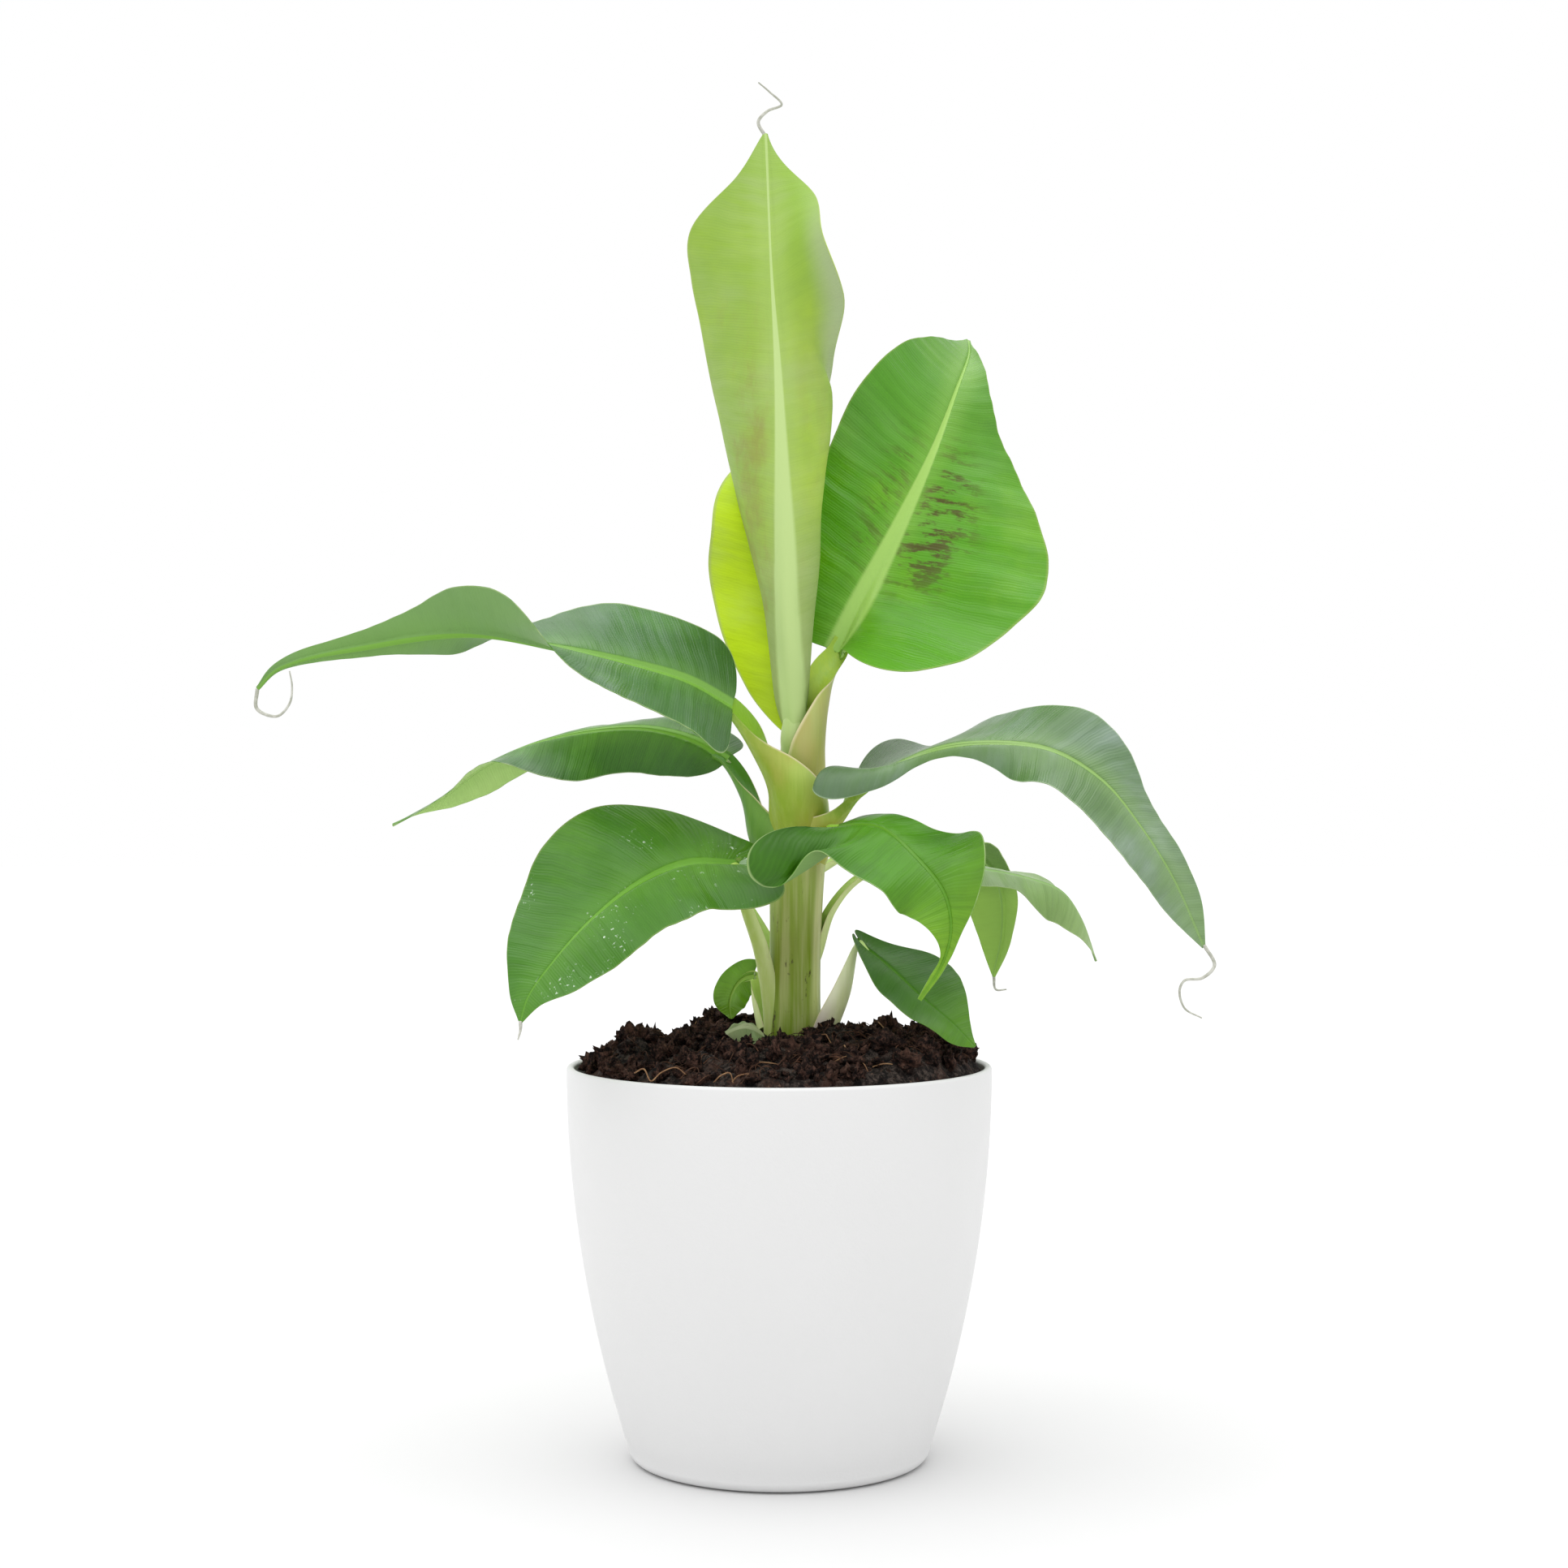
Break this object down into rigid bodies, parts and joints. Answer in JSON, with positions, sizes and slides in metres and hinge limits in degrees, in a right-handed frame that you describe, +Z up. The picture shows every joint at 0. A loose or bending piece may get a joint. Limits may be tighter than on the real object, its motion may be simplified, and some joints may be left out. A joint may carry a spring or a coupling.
{
  "type": "potted banana plant",
  "caption": "Young dwarf banana plant with an upright rolled top leaf and long arching leaves, standing in soil in a round plain pot.",
  "frame": {"origin": "centre of the pot's flat underside", "axes": "+Z up, -Y towards the plant's front, +X to the right seen from the front"},
  "size_m": [0.3828, 0.2231, 0.5855],
  "materials": {
    "pot": "smooth satin white",
    "soil": "rough, crumbly",
    "stem": "satin, waxy",
    "young_leaf": "satin, pale underside",
    "leaf": "satin"
  },
  "bodies": {
    "root": {"pot": "pot", "soil": "soil", "stem": "stem", "spear_blade": "young_leaf", "right_upper_stalk": "stem", "right_upper_blade": "leaf", "left_upper_stalk": "stem", "left_upper_blade_inner": "leaf", "left_upper_blade_outer": "leaf", "right_mid_stalk": "stem", "right_mid_blade_inner": "leaf", "right_mid_blade_outer": "leaf", "left_mid_stalk": "stem", "left_mid_blade": "leaf", "front_stalk": "stem", "front_blade": "leaf", "left_low_stalk": "stem", "left_low_blade": "leaf", "back_right_stalk": "stem", "back_right_blade": "leaf", "right_low_stalk": "stem", "right_low_blade": "leaf", "back_left_stalk": "stem", "back_left_blade": "leaf", "small_right_stalk": "stem", "small_right_blade": "leaf", "small_left_stalk": "stem", "small_left_blade": "leaf"}
  },
  "joints": []
}
